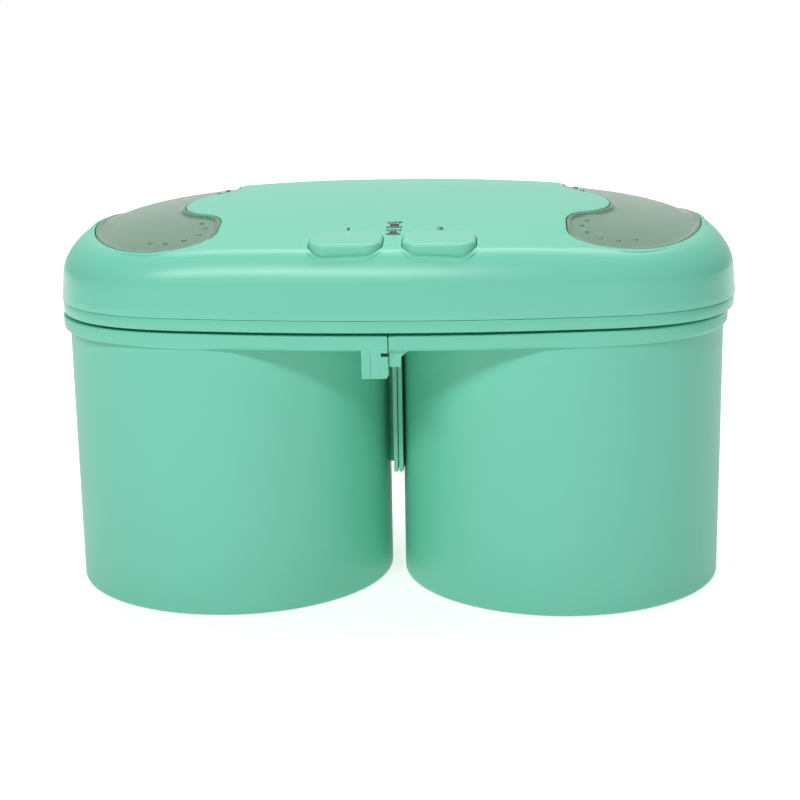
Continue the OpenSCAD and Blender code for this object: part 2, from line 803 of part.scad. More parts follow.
module button(side) {
    color("aquamarine") {
        difference() {
            intersection() {
                button_column(side, 0, edge_z, far);
                below_slope(side, 0);
            }
            intersection() {
                button_column(side, -button_wall, edge_z - past, far);
                below_slope(side, button_wall);
            }
        }
        difference() {
            button_column(side, edge_w, edge_z, edge_h);
            button_column(side, -button_wall, edge_z - past, edge_h + 2 * past);
        }
        at_button(side) translate([0, 0, stem_z])
            cylinder(r = stem_r, h = button_z - button_wall / 2 - stem_z);
    }
}

module button_spring(side) {
    per_turn = 12;
    sides = 6;
    n = coil_turns * per_turn;
    rings = [for (i = [0:n]) let (a = 360 * i / per_turn, z = spring_z + (spring_top - spring_z) * i / n)
        [for (k = [0:sides - 1]) let (b = 360 * k / sides, r = coil_r + wire_r * cos(b))
            [r * cos(a), r * sin(a), z + wire_r * sin(b)]]];
    color("silver") at_button(side) stack([for (i = [0:n]) rings[n - i]], [[for (k = [1:sides]) sides - k]]);
}

module switch_body(side) {
    color("dimgray") at_button(side) difference() {
        translate([-switch_w / 2, -switch_w / 2, switch_z]) cube([switch_w, switch_w, switch_h]);
        translate([0, 0, stem_z - button_travel - bite]) cylinder(r = stem_r + seat_gap, h = far);
    }
}

module switch_bracket() {
    w = 2 * button_x + switch_w + bracket_ends;
    color("silver") translate([panel_x - w / 2, -button_y - switch_w / 2, 0]) {
        translate([0, 0, bracket_z]) cube([w, switch_w, bracket_t]);
        for (x = [bracket_t, w - 2 * bracket_t]) translate([x, 0, floor_top])
            cube([bracket_t, switch_w, bracket_z - floor_top + bite]);
    }
}

module terminal_block() {
    w = len(terminal_spots) * terminal[0];
    color("ivory") translate([0, terminal_y, floor_top]) difference() {
        translate([-w / 2, -terminal[1] / 2, 0]) cube([w, terminal[1], terminal[2]]);
        for (i = terminal_spots) translate([i * terminal[0], 0, terminal[2] / 2])
            cylinder(r = terminal_r, h = far);
    }
}

// Children placed on the back wall, with +Z out of it
module at_grommet() {
    lean = atan(wall_draft / (wall_z - seam_z));
    y = lid_r + lid_bulge - (grommet_z - seam_z) * tan(lean);
    translate([0, y, grommet_z]) rotate([lean - 90, 0, 0]) children();
}

module cord_grommet() {
    inside = lid_wall + bite;
    color("dimgray") at_grommet() difference() {
        union() {
            translate([0, 0, fit]) cylinder(r = grommet_r + grommet_lip, h = grommet_t);
            translate([0, 0, -inside - bite]) cylinder(r = grommet_r - fit, h = inside + 2 * bite);
            translate([0, 0, -inside - grommet_t]) cylinder(r = grommet_r + grommet_lip, h = grommet_t);
        }
        translate([0, 0, -far / 2]) cylinder(r = grommet_bore, h = far);
    }
}

tub(-1);  // tub_left
tub(1);  // tub_right
feet(-1);  // feet_left
feet(1);  // feet_right
bowl_jacket(-1);  // bowl_jacket_left
bowl_jacket(1);  // bowl_jacket_right
coolant(-1);  // coolant_left
coolant(1);  // coolant_right
bowl_liner(-1);  // bowl_liner_left
bowl_liner(1);  // bowl_liner_right
bowl_seal(-1);  // bowl_seal_left
bowl_seal(1);  // bowl_seal_right
paddle(-1);  // paddle_left
paddle(1);  // paddle_right
drive_coupler(-1);  // drive_coupler_left
drive_coupler(1);  // drive_coupler_right
drive_shaft(-1);  // drive_shaft_left
drive_shaft(1);  // drive_shaft_right
motor(-1);  // motor_left
motor(1);  // motor_right
motor_screws();
lid_base();
lid_top_cover();
lid_screws();
window_cover(-1);  // window_cover_left
window_cover(1);  // window_cover_right
button(-1);  // button_left
button(1);  // button_right
button_spring(-1);  // button_spring_left
button_spring(1);  // button_spring_right
switch_body(-1);  // switch_left
switch_body(1);  // switch_right
switch_bracket();
terminal_block();
cord_grommet();
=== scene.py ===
import json
import math
import bmesh
import bpy
import numpy as np
from mathutils import Matrix, Vector
from mathutils.geometry import delaunay_2d_cdt


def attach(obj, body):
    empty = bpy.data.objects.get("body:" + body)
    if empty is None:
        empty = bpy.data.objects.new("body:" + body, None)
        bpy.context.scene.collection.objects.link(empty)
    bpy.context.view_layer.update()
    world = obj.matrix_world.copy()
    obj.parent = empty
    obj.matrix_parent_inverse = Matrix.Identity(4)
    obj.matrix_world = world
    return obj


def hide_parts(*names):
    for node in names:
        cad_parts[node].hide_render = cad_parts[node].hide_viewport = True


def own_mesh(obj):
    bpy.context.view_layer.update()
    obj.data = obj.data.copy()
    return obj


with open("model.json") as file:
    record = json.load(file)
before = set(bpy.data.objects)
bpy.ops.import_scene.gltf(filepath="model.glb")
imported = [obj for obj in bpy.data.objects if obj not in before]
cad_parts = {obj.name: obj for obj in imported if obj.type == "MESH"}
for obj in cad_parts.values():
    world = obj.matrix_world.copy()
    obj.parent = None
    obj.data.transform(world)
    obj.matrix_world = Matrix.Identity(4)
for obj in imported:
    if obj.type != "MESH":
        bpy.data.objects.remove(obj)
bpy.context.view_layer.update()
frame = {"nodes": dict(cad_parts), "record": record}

mm = 0.001        # shapes are written in millimetres
halfPitch = 82.0  # half the distance between the two bowls
endShape = 2.5    # squareness of the ends of the rim and the lid, 2 is a circle
tubShift = -1.6   # how far both tubs stand beside the lid's middle

print("frame loaded")


# outlines are rows of x and y
def signedPower(values, power):
    return np.sign(values) * np.abs(values) ** power


def flank(r, bulge, x):  # half depth of an outline at x
    u = np.abs(x) / halfPitch
    beyond = np.maximum(u - 1, 0)
    return np.where(u < 1, r + bulge * (1 - u * u), r - 2 * bulge * beyond / (1 + 2 * beyond))


def oval(r, bulge, endSteps=44, sideSteps=34):
    turn = np.linspace(-math.pi / 2, math.pi / 2, endSteps + 1)
    x = halfPitch + r * signedPower(np.maximum(np.cos(turn), 0), 2 / endShape)
    end = np.c_[x, flank(r, bulge, x) * signedPower(np.sin(turn), 2 / endShape)]
    across = halfPitch * (1 - 2 * np.arange(1, sideSteps) / sideSteps)
    half = np.vstack([end, np.c_[across, flank(r, bulge, across)]])
    return np.vstack([half, -half])


def circle(x, y, r, steps):
    turn = np.linspace(0, 2 * math.pi, steps, endpoint=False)
    return np.c_[x + r * np.cos(turn), y + r * np.sin(turn)]


def arc(x, y, r, start, stop, steps=10):
    turn = np.radians(np.linspace(start, stop, steps + 1))
    return np.c_[x + r * np.cos(turn), y + r * np.sin(turn)]


def outward(loop):  # unit normals of a closed anticlockwise loop
    along = np.roll(loop, -1, 0) - np.roll(loop, 1, 0)
    along /= np.linalg.norm(along, axis=1)[:, None]
    return np.c_[along[:, 1], -along[:, 0]]


def grown(loop, by):
    by = np.broadcast_to(by, len(loop))
    return loop + outward(loop) * by[:, None]


def evenly(loop, step):  # the same closed loop with points at equal distances
    closed = np.vstack([loop, loop[:1]])
    run = np.r_[0, np.cumsum(np.linalg.norm(np.diff(closed, axis=0), axis=1))]
    at = np.linspace(0, run[-1], int(run[-1] / step), endpoint=False)
    return np.c_[np.interp(at, run, closed[:, 0]), np.interp(at, run, closed[:, 1])]


def within(points, loop):  # which points lie inside a closed loop
    inside = np.zeros(len(points), bool)
    for (x0, y0), (x1, y1) in zip(loop, np.roll(loop, -1, 0)):
        crosses = (y0 > points[:, 1]) != (y1 > points[:, 1])
        if crosses.any():
            x = x0 + (points[:, 1] - y0) * (x1 - x0) / (y1 - y0 + 1e-12)
            inside ^= crosses & (points[:, 0] < x)
    return inside


def grid(loop, step, margin):  # staggered points inside a loop, clear of its edge
    low, high = loop.min(0), loop.max(0)
    rows = []
    for i, y in enumerate(np.arange(low[1], high[1], step * 0.866)):
        x = np.arange(low[0] + (i % 2) * step / 2, high[0], step)
        rows.append(np.c_[x, np.full(len(x), y)])
    points = np.vstack(rows)
    points = points[within(points, loop)]
    gap = np.min(np.linalg.norm(points[:, None] - loop[None], axis=2), axis=1)
    return points[gap > margin]


lid = {
    "endRadius": 81.5, "bulge": 5.8, "seamZ": 144.6, "wallZ": 157.5, "draft": 1.1, "topZ": 189.3,
    "slope": 0.1, "bowX": 14.9, "bowShape": 2.7, "bowY": 8.3, "shoulderFront": 10.0,
    "shoulderBack": 72.0, "shoulderGrowth": 3.0, "shoulderShape": 1.74,
}


def inset(x, y, r, bulge):  # how far inside the outline of end radius r a point lies
    low, high = np.full_like(x, 0.01), np.full_like(x, r)
    for _ in range(46):  # halves the range until the outline through the point is found
        middle = (low + high) / 2
        ends = (np.maximum(np.abs(x) - halfPitch, 0) / middle) ** endShape
        sides = (np.abs(y) / np.maximum(flank(middle, bulge, x), 1e-3)) ** endShape
        outside = ends + sides > 1
        low, high = np.where(outside, middle, low), np.where(outside, high, middle)
    return r - (low + high) / 2


def lidHeight(points, inner=0.0):  # surface of the lid, or one that lies inside it all over
    x, y = points[:, 0], points[:, 1]
    halfDepth = lid["endRadius"] + lid["bulge"]
    top = (lid["topZ"] + lid["slope"] * y - lid["bowY"] * (y / halfDepth) ** 2
           - lid["bowX"] * (np.abs(x) / (halfPitch + lid["endRadius"])) ** lid["bowShape"])
    back = np.clip(0.5 + y / (2 * halfDepth), 0, 1) ** lid["shoulderGrowth"]
    width = lid["shoulderFront"] + (lid["shoulderBack"] - lid["shoulderFront"]) * back
    edge = inset(x, y, lid["endRadius"] - inner - lid["draft"], lid["bulge"])
    shape = lid["shoulderShape"]
    rise = (1 - np.clip(1 - edge / width, 0, 1) ** shape) ** (1 / shape)
    wall = lid["seamZ"] + (lid["wallZ"] - lid["seamZ"]) * (edge + lid["draft"]) / lid["draft"]
    return np.where(edge < 0, wall, lid["wallZ"] + (top - lid["wallZ"]) * rise) - inner


class Solid:  # points and faces of one piece
    def __init__(self):
        self.points, self.faces = [], []

    def add(self, plan, z):
        start = len(self.points)
        z = np.broadcast_to(z, len(plan))
        self.points += [(p[0], p[1], h) for p, h in zip(plan, z)]
        return np.arange(start, start + len(plan))

    def strip(self, upper, lower):  # wall between two closed rows, facing out of anticlockwise ones
        for i in range(len(upper)):
            j = (i + 1) % len(upper)
            self.faces.append((upper[i], lower[i], lower[j], upper[j]))

    def strips(self, rows, flip=False):  # walls through a list of rows; flip turns them round
        for first, second in zip(rows[:-1], rows[1:]):
            self.strip(*((second, first) if flip else (first, second)))

    def fill(self, rows, free=None, up=True):  # rows: outer row first, then the rows of holes
        free = np.zeros(0, int) if free is None else free
        every = np.concatenate(list(rows) + [free])
        plan = [Vector(self.points[i][:2]) for i in every]
        edges, start = [], 0
        for row in rows:
            n = len(row)
            edges += [(start + i, start + (i + 1) % n) for i in range(n)]
            start += n
        verts, _, faces, origin, _, _ = delaunay_2d_cdt(plan, edges, [], 0, 1e-7)
        source = [every[o[0]] if o else None for o in origin]
        where = np.array([v[:] for v in verts])
        corners = np.array([f[:3] for f in faces])
        middle = where[corners].mean(1)
        keep = within(middle, np.array([self.points[i][:2] for i in rows[0]]))
        for row in rows[1:]:
            keep &= ~within(middle, np.array([self.points[i][:2] for i in row]))
        for a, b, c in corners[keep]:
            if None in (source[a], source[b], source[c]):
                raise ValueError("rows cross each other")
            (ax, ay), (bx, by), (cx, cy) = where[a], where[b], where[c]
            if ((bx - ax) * (cy - ay) - (by - ay) * (cx - ax) > 0) != up:
                b, c = c, b
            self.faces.append((source[a], source[b], source[c]))

    def box(self, low, high):
        corners = [(low[0], low[1]), (high[0], low[1]), (high[0], high[1]), (low[0], high[1])]
        top, bottom = self.add(corners, high[2]), self.add(corners, low[2])
        self.strip(top, bottom)
        self.faces += [tuple(top), tuple(bottom[::-1])]

    def slabXZ(self, profile, front, back):  # an anticlockwise profile in x and z, from front to back
        start = len(self.points)
        n = len(profile)
        self.points += [(x, front, z) for x, z in profile] + [(x, back, z) for x, z in profile]
        self.faces += [tuple(range(start, start + n)), tuple(range(start + 2 * n - 1, start + n - 1, -1))]
        for i in range(n):
            j = (i + 1) % n
            self.faces.append((start + j, start + i, start + n + i, start + n + j))

    # a profile of radius and height turned about an upright axis
    def turned(self, x, y, profile, steps=128):
        rows = [self.add(circle(x, y, r, steps), z) for r, z in profile if r > 0]
        self.strips(rows, flip=True)
        if profile[0][0] <= 0:
            self.faces.append(tuple(rows[0][::-1]))
        if profile[-1][0] <= 0:
            self.faces.append(tuple(rows[-1]))
        if profile[0][0] > 0 and profile[-1][0] > 0:
            self.strip(rows[0], rows[-1])

    def build(self, name):
        mesh = bpy.data.meshes.new(name)
        mesh.from_pydata([(x * mm, y * mm, z * mm) for x, y, z in self.points], [],
                         [tuple(int(i) for i in f) for f in self.faces])
        mesh.validate()
        piece = bpy.data.objects.new(name, mesh)
        bpy.context.scene.collection.objects.link(piece)
        smooth(piece)
        return piece


def smooth(piece, angle=35):
    piece.data.shade_smooth()
    piece.data.set_sharp_from_angle(angle=math.radians(angle))


def applied(piece):  # works the modifiers into the piece's own mesh
    graph = bpy.context.evaluated_depsgraph_get()
    mesh = bpy.data.meshes.new_from_object(piece.evaluated_get(graph))
    piece.modifiers.clear()
    piece.data = mesh


class Wire:  # a socket that takes part in plain arithmetic
    def __init__(self, graph, socket):
        self.graph, self.socket = graph, socket

    def maths(self, operation, first, second):
        return self.graph.node("ShaderNodeMath", {"operation": operation}, {0: first, 1: second})[0]

    def __add__(self, other):
        return self.maths("ADD", self, other)

    def __sub__(self, other):
        return self.maths("SUBTRACT", self, other)

    def __rsub__(self, other):
        return self.maths("SUBTRACT", other, self)

    def __mul__(self, other):
        return self.maths("MULTIPLY", self, other)

    __radd__, __rmul__ = __add__, __mul__


class Graph:  # the nodes of a material or the world
    def __init__(self, owner):
        self.owner = owner
        owner.use_nodes = True
        self.tree = owner.node_tree
        self.tree.nodes.clear()

    def node(self, kind, settings=None, values=None):
        made = self.tree.nodes.new(kind)
        for name, value in (settings or {}).items():
            setattr(made, name, value)
        for name, value in (values or {}).items():
            if isinstance(value, Wire):
                self.tree.links.new(value.socket, made.inputs[name])
            else:
                made.inputs[name].default_value = value
        return [Wire(self, socket) for socket in made.outputs]

    def place(self):  # where a point lies on its own object
        return self.node("ShaderNodeTexCoord")[3]

    def noise(self, scale, detail=2, rough=0.5, at=None):
        values = {"Vector": at or self.place(), "Scale": scale, "Detail": detail, "Roughness": rough}
        return self.node("ShaderNodeTexNoise", None, values)[0]

    def blend(self, factor, first, second):
        return self.node("ShaderNodeMix", {"data_type": "RGBA"}, {0: factor, 6: first, 7: second})[2]

    def bump(self, strength, height):
        values = {"Strength": strength, "Distance": bumpDistance, "Height": height}
        return self.node("ShaderNodeBump", None, values)[0]

    def finish(self, kind, values):  # the material with its shader in place
        shader = self.node(kind, None, values)[0]
        self.node("ShaderNodeOutputMaterial", None, {"Surface": shader})
        return self.owner


bumpDistance = 0.0002  # metres that a full bump stands for


def linear(colour):  # a screen colour, 0 to 255, as a shader colour
    part = [c / 255 for c in colour]
    return tuple(c / 12.92 if c <= 0.04045 else ((c + 0.055) / 1.055) ** 2.4 for c in part) + (1.0,)


def shaded(colour, by):
    return tuple(c * by for c in colour[:3]) + (1.0,)


# moulded plastic or rubber: a faint drift of colour, a fine grain and a slightly uneven gloss
def plastic(name, colour, rough=0.4, drift=0.03, grain=900, bump=0.02):
    g = Graph(bpy.data.materials.new(name))
    base = linear(colour)
    cloud = g.noise(9)
    speck = g.noise(grain)
    tint = g.blend(cloud, shaded(base, 1 - drift), shaded(base, 1 + drift))
    return g.finish("ShaderNodeBsdfPrincipled", {
        "Base Color": tint, "Roughness": rough - 0.04 + cloud * 0.05 + speck * 0.03,
        "Normal": g.bump(bump, speck)})


# drawn, turned or plated metal with marks that run one way
def metal(name, colour, rough=0.3, stretch=(1, 1, 30), bump=0.05):
    g = Graph(bpy.data.materials.new(name))
    base = linear(colour)
    vector = g.node("ShaderNodeMapping", None, {"Vector": g.place(), "Scale": stretch})[0]
    marks = g.noise(260, 4, 0.6, vector)
    cloud = g.noise(30)
    tint = g.blend(marks, shaded(base, 0.86), shaded(base, 1.0))
    return g.finish("ShaderNodeBsdfPrincipled", {
        "Base Color": tint, "Metallic": 1.0, "Roughness": rough - 0.08 + marks * 0.1 + cloud * 0.06,
        "Normal": g.bump(bump, marks)})


def clearPlastic(name, colour):  # a smoke-clear moulding, part tinted haze and part see-through
    g = Graph(bpy.data.materials.new(name))
    base = linear(colour)
    cloud = g.noise(14)
    speck = g.noise(700)
    tint = g.blend(cloud, shaded(base, 0.97), shaded(base, 1.03))
    return g.finish("ShaderNodeBsdfPrincipled", {
        "Base Color": tint, "Roughness": 0.09 + cloud * 0.05, "Normal": g.bump(0.03, speck),
        "Transmission Weight": 0.6, "IOR": 1.5, "Coat Weight": 0.3, "Coat Roughness": 0.06})


mintColour = (124, 218, 189)
finishes = {
    "mint_tub": plastic("mint_tub", mintColour, 0.42),
    "mint_lid": plastic("mint_lid", mintColour, 0.31),
    "mint_button": plastic("mint_button", (128, 221, 192), 0.31),
    "clear_window": clearPlastic("clear_window", (142, 198, 166)),
    "bowl_metal": metal("bowl_metal", (212, 214, 216), 0.3),
    "jacket_plastic": plastic("jacket_plastic", (234, 236, 236), 0.45),
    "coolant": plastic("coolant", (166, 206, 232), 0.3),
    "seal_rubber": plastic("seal_rubber", (150, 153, 153), 0.7, 0.05, 500, 0.08),
    "foot_rubber": plastic("foot_rubber", (64, 66, 66), 0.75, 0.06, 500, 0.1),
    "grommet_rubber": plastic("grommet_rubber", (42, 42, 43), 0.7, 0.06, 500, 0.1),
    "paddle_plastic": plastic("paddle_plastic", (240, 240, 236), 0.4),
    "coupler_plastic": plastic("coupler_plastic", (228, 227, 222), 0.4),
    "shaft_steel": metal("shaft_steel", (198, 198, 200), 0.25),
    "motor_steel": metal("motor_steel", (172, 174, 177), 0.38, (1, 1, 6)),
    "screw_steel": metal("screw_steel", (186, 186, 187), 0.35, (1, 1, 1)),
    "spring_steel": metal("spring_steel", (186, 186, 190), 0.3, (1, 1, 8)),
    "bracket_steel": metal("bracket_steel", (178, 180, 184), 0.42, (12, 1, 1)),
    "switch_plastic": plastic("switch_plastic", (36, 36, 37), 0.4),
    "terminal_plastic": plastic("terminal_plastic", (228, 222, 204), 0.45),
}
ink = plastic("print_ink", (24, 28, 28), 0.6, 0.05, 1500, 0.02)
print("materials made")


def sideName(side):  # side is 1 on the right and -1 on the left
    return "right" if side > 0 else "left"


# the finished piece: its material, its body and the solids it stands in for
def dressed(piece, body, slot, *nodes, material=None):
    piece.data.materials.clear()
    piece.data.materials.append(material or finishes[slot])
    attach(piece, body)
    if nodes:
        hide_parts(*nodes)
    return piece


# the windows' outline and depths, shared by the lid cover, the lid base and the clear covers
window = {
    "halfWidth": 44.3, "halfDepth": 66.4, "middleX": 102.8, "innerX": 81.0, "lobeRadius": 22.8,
    "lobeX": 80.5, "lobeY": 1.0, "corner": 18.0, "recess": 1.5, "pane": 1.8, "rim": 6.0,
    "clearance": 0.4, "chuteWall": 2.0, "lip": 1.6, "lipRise": 1.2, "step": 1.2,
    "pointStep": 1.3, "topGrid": (3.0, 1.2), "underGrid": (4.0, 1.5),
}


# the right window's kidney outline: an ellipse with a straight inner edge and a round bite
def windowOutline():
    w = window
    fillet = w["corner"]
    middle = w["innerX"] + fillet

    def onEllipse(t, back=0.0):
        point = np.array([w["middleX"] + w["halfWidth"] * math.cos(t), w["halfDepth"] * math.sin(t)])
        normal = np.array([math.cos(t) / w["halfWidth"], math.sin(t) / w["halfDepth"]])
        return point - back * normal / np.linalg.norm(normal)

    low, high = math.pi / 2, math.pi
    for _ in range(40):  # where the corner's circle touches the ellipse
        t = (low + high) / 2
        low, high = (t, high) if onEllipse(t, fillet)[0] > middle else (low, t)
    touch, corner = onEllipse(t), onEllipse(t, fillet)
    start = math.degrees(math.atan2(*(touch - corner)[::-1]))
    halves = []
    for side in (1, -1):
        lobeY = side * w["lobeY"]
        away = w["lobeRadius"] + fillet
        centreY = lobeY + math.sqrt(away ** 2 - (middle - w["lobeX"]) ** 2)
        lean = math.degrees(math.atan2(centreY - lobeY, middle - w["lobeX"]))
        ellipse = [onEllipse(a) for a in np.linspace(0, t, 60)]
        halves.append(np.vstack([
            ellipse, arc(*corner, fillet, start, 180)[1:], arc(middle, centreY, fillet, 180, 180 + lean),
            arc(w["lobeX"], lobeY, w["lobeRadius"], lean, 0)[1:],
        ]))
    back, front = halves
    front = front * (1, -1)
    return evenly(np.vstack([back, front[::-1][1:-1]]), w["pointStep"])


def mirrored(loop, side):
    return loop if side > 0 else (loop * (-1, 1))[::-1]


windowLoop = windowOutline()

button = {
    "width": 33.4, "depth": 22.4, "apart": 21.2, "panelX": 1.8, "y": 67.7, "corner": 7.6, "z": 179.5,
    "slope": 7.0, "wall": 1.8, "clearance": 0.3, "edgeZ": 160.6, "edge": 1.6, "edgeHeight": 1.8,
    "edgeRound": 1.5, "crown": 0.35, "crownReach": 1.6, "stemRadius": 2.4, "stemZ": 155.0, "stemSink": 1,
    "stemChamfer": 0.3, "roof": 0.6, "skirt": 6, "travel": 3.0, "pointStep": 0.9, "topGrid": (2.0, 0.8),
    "underGrid": (2.5, 1.0),
}


def buttonMiddle(side):
    return np.array([button["panelX"] + side * button["apart"], -button["y"]])


def buttonLoop(side, grow=0.0):
    b = button
    x, y = b["width"] / 2 - b["corner"], b["depth"] / 2 - b["corner"]
    r = b["corner"] + grow
    corners = ((x, -y, -90), (x, y, 0), (-x, y, 90), (-x, -y, 180))
    loop = np.vstack([arc(cx, cy, r, start, start + 90) for cx, cy, start in corners])
    return evenly(loop, b["pointStep"]) + buttonMiddle(side)


cover = {
    "skin": 2.0, "lip": 0.5, "lipGap": 0.7, "buttonLip": 0.4, "buttonGap": 0.6, "ledgeGap": 0.3,
    "lowEdge": 0.35, "lowCorner": 0.1, "chuteZ": 141.3, "guideZ": 162.7, "guideDepth": 2, "crease": 32,
    "rows": 12,  # how many of the rings below are strips, before the filled dome starts
    "wallRings": [0, 0.3, 0.6, 0.9],  # how far inside the lid's outline each ring lies
    "shoulderRings": (0.12, 0.2, 0.31, 0.46, 0.65, 0.9, 1.2, 1.6, 2.1, 2.7, 3.4, 4.2, 5.1, 6.1, 7.3, 8.6,
                      10, 11.6, 13.4, 15.5, 18, 20.5, 23),
    "domeRings": (26.5, 78, 3.2),
}


# a rounded lip from the lid's surface down into an opening; gives its outer and inner rows
def lippedHole(solid, loop, radius):
    made = []
    for turn in np.linspace(90, 0, 6):
        c, s = math.cos(math.radians(turn)), math.sin(math.radians(turn))
        ring = grown(loop, radius * (1 - c))
        made.append(solid.add(ring, lidHeight(ring) - radius * (1 - s)))
    solid.strips([row[::-1] for row in made])
    return made[0], made[-1]


def makeLidCover():
    solid = Solid()
    wallRings = len(cover["wallRings"])
    steps = (cover["wallRings"] + [lid["draft"] + d for d in cover["shoulderRings"]]
             + list(np.arange(*cover["domeRings"])))
    rings = [oval(lid["endRadius"] - s, lid["bulge"]) for s in steps]
    inward = np.vstack(rings[cover["rows"]:])
    keep = np.ones(len(inward), bool)
    holes = []
    for side in (1, -1):
        loop = mirrored(windowLoop, side)
        keep &= ~within(inward, grown(loop, cover["lip"] + cover["lipGap"]))
        top, row = lippedHole(solid, loop, cover["lip"])
        holes.append(top)
        depth = window["recess"] + window["pane"] + window["rim"] + cover["ledgeGap"]
        ledge = lidHeight(loop) - depth
        narrow = grown(loop, -window["chuteWall"])
        rows = [row, solid.add(loop, lidHeight(loop) - depth / 2), solid.add(loop, ledge),
                solid.add(narrow, ledge), solid.add(narrow, (ledge + cover["chuteZ"]) / 2),
                solid.add(narrow, cover["chuteZ"])]
        solid.strips([row[::-1] for row in rows])
        loop = buttonLoop(side, button["clearance"])
        keep &= ~within(inward, grown(loop, cover["buttonLip"] + cover["buttonGap"]))
        top, row = lippedHole(solid, loop, cover["buttonLip"])
        holes.append(top)
        low = np.minimum(cover["guideZ"], lidHeight(loop) - cover["guideDepth"])
        solid.strip(row[::-1], solid.add(loop, low)[::-1])
    free = solid.add(inward[keep], lidHeight(inward[keep]))
    low = lid["seamZ"]
    bend = lidHeight(rings[wallRings])  # the wall runs straight from the seam into the shoulder
    rows = [solid.add(ring, lidHeight(ring)) for ring in rings[wallRings:cover["rows"]][::-1]]
    rows += [solid.add(rings[i], low + (bend - low) * steps[i] / steps[wallRings])
             for i in range(wallRings - 1, 0, -1)]
    solid.fill([rows[0]] + holes, free)
    rows += [solid.add(rings[0], low + cover["lowEdge"])]
    rows += [solid.add(oval(lid["endRadius"] - by, lid["bulge"]), low + up)
             for by, up in ((cover["lowCorner"], cover["lowCorner"]), (cover["lowEdge"], 0))]
    solid.strips(rows)
    piece = solid.build("lid_cover_shell")
    thick = piece.modifiers.new("skin", "SOLIDIFY")
    thick.thickness, thick.offset, thick.use_even_offset = cover["skin"] * mm, -1, False
    applied(piece)
    smooth(piece, cover["crease"])
    return dressed(piece, "lid", "mint_lid", "lid_top_cover")


makeLidCover()
print("lid cover made")


base = {
    "inset": 0.4, "wall": 2.4, "low": 138.8, "floor": 141.2, "top": 144.5, "round": 1.0, "collarZ": 132.4,
    "collarRadius": 74.0, "collarWall": 1.8, "bossRadius": 8.0, "bossTop": 144.2, "bore": 3.55,
    "motorX": 59.0, "earY": 26.0, "postRadius": 4.5, "postTop": 147.2, "postChamfer": 0.3, "chamfer": 0.4,
    "sink": 0.4, "tabX": 30, "tabY": 74, "tabHalf": (5, 3), "tabLow": 137.7,
    "topEdge": ((0, 0.3), (0.1, 0.1), (0.35, 0)),  # steps inward and down that round the top edge
}


def makeLidBase():
    r = lid["endRadius"] - base["inset"]
    bulge = lid["bulge"]
    solid = Solid()

    def row(by, z):
        return solid.add(oval(r - by, bulge), z)

    soft = base["round"]
    bottom = row(soft, base["low"])
    rows = [bottom] + [row(soft * (1 - math.sin(a)), base["low"] + soft * (1 - math.cos(a)))
                       for a in np.linspace(0.35, math.pi / 2, 5)]
    rows += [row(by, base["top"] - drop) for by, drop in base["topEdge"]]
    rows += [row(base["wall"], base["top"]), row(base["wall"], base["floor"])]
    solid.strips(rows, flip=True)
    lowHoles, highHoles = [], []
    for side in (1, -1):
        for loop in (mirrored(grown(windowLoop, -window["chuteWall"]), side),
                     circle(side * halfPitch, 0, base["bore"], 32)):
            low, high = solid.add(loop, base["low"]), solid.add(loop, base["floor"])
            solid.strip(low, high)
            lowHoles.append(low)
            highHoles.append(high)
    solid.fill([bottom] + lowHoles, up=False)
    solid.fill([rows[-1]] + highHoles)
    for side in (1, -1):
        x, low, edge = side * halfPitch, base["collarZ"], base["chamfer"]
        outer, inner = base["collarRadius"], base["collarRadius"] - base["collarWall"]
        root = base["low"] + base["sink"]
        solid.turned(x, 0, [(inner, root), (inner, low + edge), (inner + edge, low), (outer - edge, low),
                            (outer, low + edge), (outer, root)])
        bore, boss, top = base["bore"], base["bossRadius"], base["bossTop"]
        solid.turned(x, 0, [(bore, top), (bore, low), (boss - edge, low), (boss, low + edge),
                            (boss, top - edge), (boss - edge, top)], 64)
        foot, post, top = base["floor"] - base["sink"], base["postRadius"], base["postTop"]
        edge = base["postChamfer"]
        tabX, (tabW, tabD) = side * base["tabX"], base["tabHalf"]
        for y in (1, -1):
            solid.turned(side * base["motorX"], y * base["earY"], [
                (0, foot), (post, foot), (post, top - edge), (post - edge, top), (0, top)], 40)
            tabY = y * base["tabY"]
            solid.box((tabX - tabW, tabY - tabD, base["tabLow"]), (tabX + tabW, tabY + tabD, root))
    return dressed(solid.build("lid_base_tray"), "lid", "mint_lid", "lid_base")


makeLidBase()
print("lid base made")


# grip dots on the clear covers; each is a stack of rings, given as shares of its radius and height
dots = {
    "x": 103.0, "y": 38.5, "ring": 14.8, "start": 143.0, "step": 33.4, "count": 6, "radius": 1.25,
    "height": 0.85, "points": 14, "keepClear": 1.5,
    "rings": [(0, 1.0), (0.35, 0.94), (0.6, 0.8), (0.8, 0.6), (0.93, 0.37), (1.0, 0.0)],
}


def dotCentres():
    turn = np.radians(dots["start"] + dots["step"] * np.arange(dots["count"]))
    front = np.c_[dots["x"] + dots["ring"] * np.cos(turn), -dots["y"] + dots["ring"] * np.sin(turn)]
    return np.vstack([front, front * (1, -1) + (0, 2 * window["lobeY"])])


